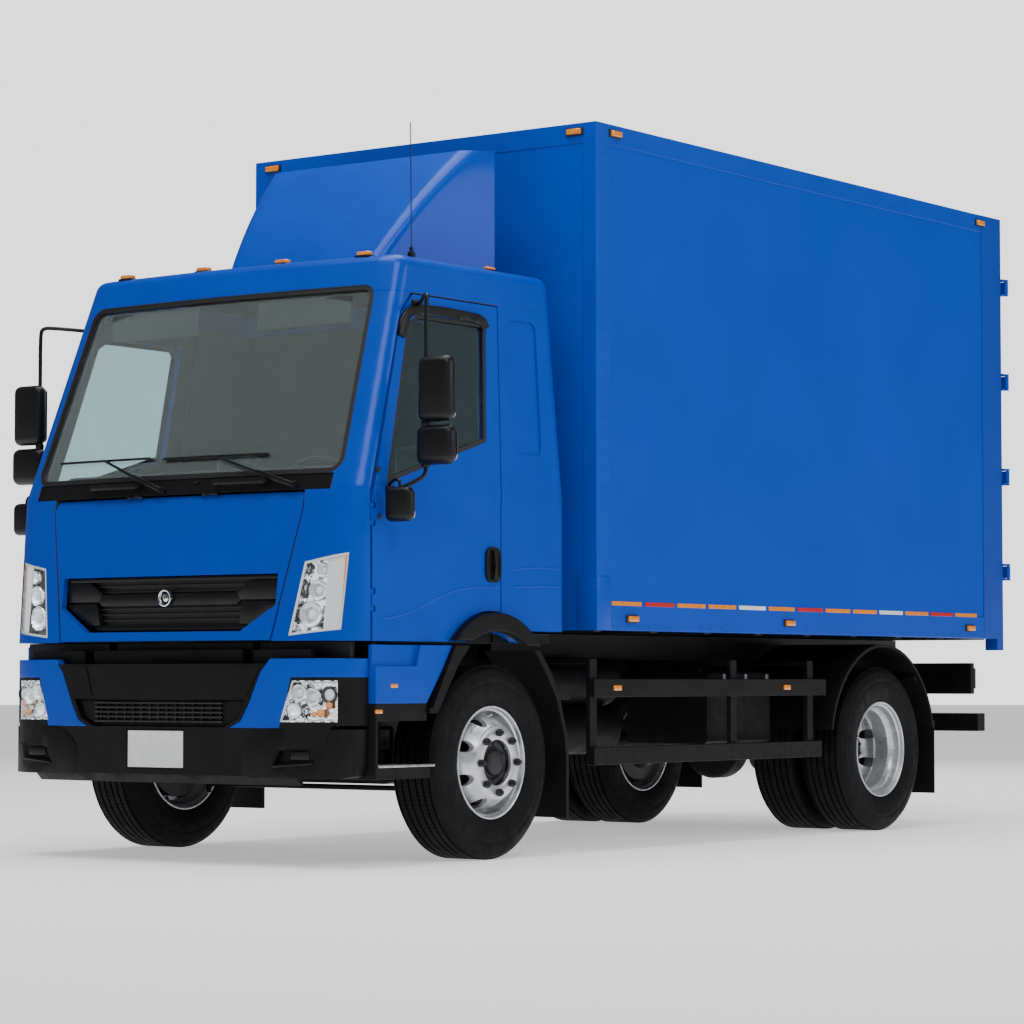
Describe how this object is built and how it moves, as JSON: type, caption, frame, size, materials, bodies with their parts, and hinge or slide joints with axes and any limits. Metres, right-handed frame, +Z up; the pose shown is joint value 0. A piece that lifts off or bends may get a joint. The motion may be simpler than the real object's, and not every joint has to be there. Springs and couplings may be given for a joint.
{
  "type": "box truck",
  "caption": "Cab-over box truck with a tilting cab, steered front wheels, twin rear wheels and a closed load body with two rear doors.",
  "frame": {"origin": "middle of the bounding box, on the ground", "axes": "+Z up, -Y to the front of the truck, +X to its left side"},
  "size_m": [2.71, 6.182, 3.542],
  "materials": {
    "cab_paint": "gloss metallic blue paint",
    "body_panel": "gloss blue paint on panels",
    "body_rail": "gloss blue paint on rails",
    "body_rear_paint": "gloss blue paint on steel",
    "floor_board": "coated plywood on steel bearers",
    "chassis_paint": "satin black chassis paint",
    "engine_iron": "cast and painted",
    "tank_metal": "brushed aluminium",
    "silencer_steel": "heat-dulled steel",
    "black_plastic": "grained black plastic",
    "mirror_housing": "grained black plastic",
    "seat_fabric": "woven grey cloth",
    "window_glass": "tinted glass",
    "lamp_lens": "clear lens",
    "tyre": "black rubber",
    "wheel_steel": "silver wheel paint"
  },
  "bodies": {
    "chassis": {"chassis_frame": "chassis_paint", "engine_block": "engine_iron", "front_axle": "chassis_paint", "rear_axle": "chassis_paint", "fuel_tank": "tank_metal", "frame_boxes": "black_plastic", "silencer": "silencer_steel", "side_guards": "chassis_paint", "front_bumper": "black_plastic", "bumper_corners": "cab_paint", "step_panels": "cab_paint", "steps": "black_plastic", "front_mudguards": "black_plastic", "rear_fenders": "black_plastic", "underrun_bar": "chassis_paint", "body_floor": "floor_board", "body_side_walls": "body_panel", "body_front_wall": "body_panel", "body_roof": "body_panel", "body_rails": "body_rail", "rear_frame": "body_rear_paint", "lamps": "lamp_lens"},
    "cab": {"cab_roof": "cab_paint", "cab_rear_wall": "cab_paint", "cab_sides": "cab_paint", "windshield": "window_glass", "cab_corners": "cab_paint", "headlamps": "lamp_lens", "cowl": "black_plastic", "cab_firewall": "cab_paint", "cab_floor": "cab_paint", "arch_flares": "black_plastic", "roof_fairing": "cab_paint", "dashboard": "black_plastic", "seats": "seat_fabric"},
    "front_flap": {"front_flap": "cab_paint", "upper_grille": "black_plastic"},
    "steering_wheel": {"steering_wheel": "black_plastic"},
    "tie_rod": {"tie_rod": "chassis_paint"},
    "door_left": {"door_left": "cab_paint", "door_glass_left": "window_glass", "mirror_left": "mirror_housing"},
    "rear_door_left": {"rear_door_left": "body_panel"},
    "knuckle_left": {"knuckle_left": "chassis_paint"},
    "wheel_front_left": {"tyre_front_left": "tyre", "rim_front_left": "wheel_steel"},
    "wheels_rear_left": {"tyres_rear_left": "tyre", "rims_rear_left": "wheel_steel"},
    "door_right": {"door_right": "cab_paint", "door_glass_right": "window_glass", "mirror_right": "mirror_housing"},
    "rear_door_right": {"rear_door_right": "body_panel"},
    "knuckle_right": {"knuckle_right": "chassis_paint"},
    "wheel_front_right": {"tyre_front_right": "tyre", "rim_front_right": "wheel_steel"},
    "wheels_rear_right": {"tyres_rear_right": "tyre", "rims_rear_right": "wheel_steel"}
  },
  "joints": [
    {"name": "cab_tilt", "type": "hinge", "parent": "chassis", "child": "cab", "pos_m": [0, -2.921, 0.78], "axis": [1, 0, 0], "range_deg": [0, 50]},
    {"name": "front_flap_lift", "type": "hinge", "parent": "cab", "child": "front_flap", "pos_m": [0, -2.98107, 1.668], "axis": [-1, 0, 0], "range_deg": [0, 80]},
    {"name": "steering_wheel_turn", "type": "hinge", "parent": "cab", "child": "steering_wheel", "pos_m": [0.56, -2.471, 1.7], "axis": [0, 0.6157, 0.788], "range_deg": [-608, 608]},
    {"name": "door_left_swing", "type": "hinge", "parent": "cab", "child": "door_left", "pos_m": [1.04, -2.825, 1.34], "axis": [0, 0, -1], "range_deg": [0, 70]},
    {"name": "steer_left", "type": "hinge", "parent": "chassis", "child": "knuckle_left", "pos_m": [0.8, -1.971, 0.4475], "axis": [0, 0, 1], "range_deg": [-38, 38]},
    {"name": "wheel_front_left_roll", "type": "hinge", "parent": "knuckle_left", "child": "wheel_front_left", "pos_m": [0.944, -1.971, 0.4475], "axis": [1, 0, 0], "continuous": true},
    {"name": "wheels_rear_left_roll", "type": "hinge", "parent": "chassis", "child": "wheels_rear_left", "pos_m": [0.787, 1.622, 0.4475], "axis": [1, 0, 0], "continuous": true},
    {"name": "rear_door_left_swing", "type": "hinge", "parent": "chassis", "child": "rear_door_left", "pos_m": [1.102, 3.078, 2.361], "axis": [0, 0, -1], "range_deg": [0, 270]},
    {"name": "door_right_swing", "type": "hinge", "parent": "cab", "child": "door_right", "pos_m": [-1.04, -2.825, 1.34], "axis": [0, 0, 1], "range_deg": [0, 70]},
    {"name": "steer_right", "type": "hinge", "parent": "chassis", "child": "knuckle_right", "pos_m": [-0.8, -1.971, 0.4475], "axis": [0, 0, 1], "range_deg": [-38, 38]},
    {"name": "wheel_front_right_roll", "type": "hinge", "parent": "knuckle_right", "child": "wheel_front_right", "pos_m": [-0.944, -1.971, 0.4475], "axis": [1, 0, 0], "continuous": true},
    {"name": "wheels_rear_right_roll", "type": "hinge", "parent": "chassis", "child": "wheels_rear_right", "pos_m": [-0.787, 1.622, 0.4475], "axis": [1, 0, 0], "continuous": true},
    {"name": "rear_door_right_swing", "type": "hinge", "parent": "chassis", "child": "rear_door_right", "pos_m": [-1.102, 3.078, 2.361], "axis": [0, 0, 1], "range_deg": [0, 270]},
    {"name": "tie_rod_swing", "type": "hinge", "parent": "knuckle_left", "child": "tie_rod", "pos_m": [0.8, -1.821, 0.3825], "axis": [0, 0, 1], "range_deg": [-38, 38]}
  ],
  "couplings": [
    {"joint": "steer_right", "follows": "steer_left", "ratio": 1},
    {"joint": "tie_rod_swing", "follows": "steer_left", "ratio": -1},
    {"joint": "steering_wheel_turn", "follows": "steer_left", "ratio": 16}
  ]
}
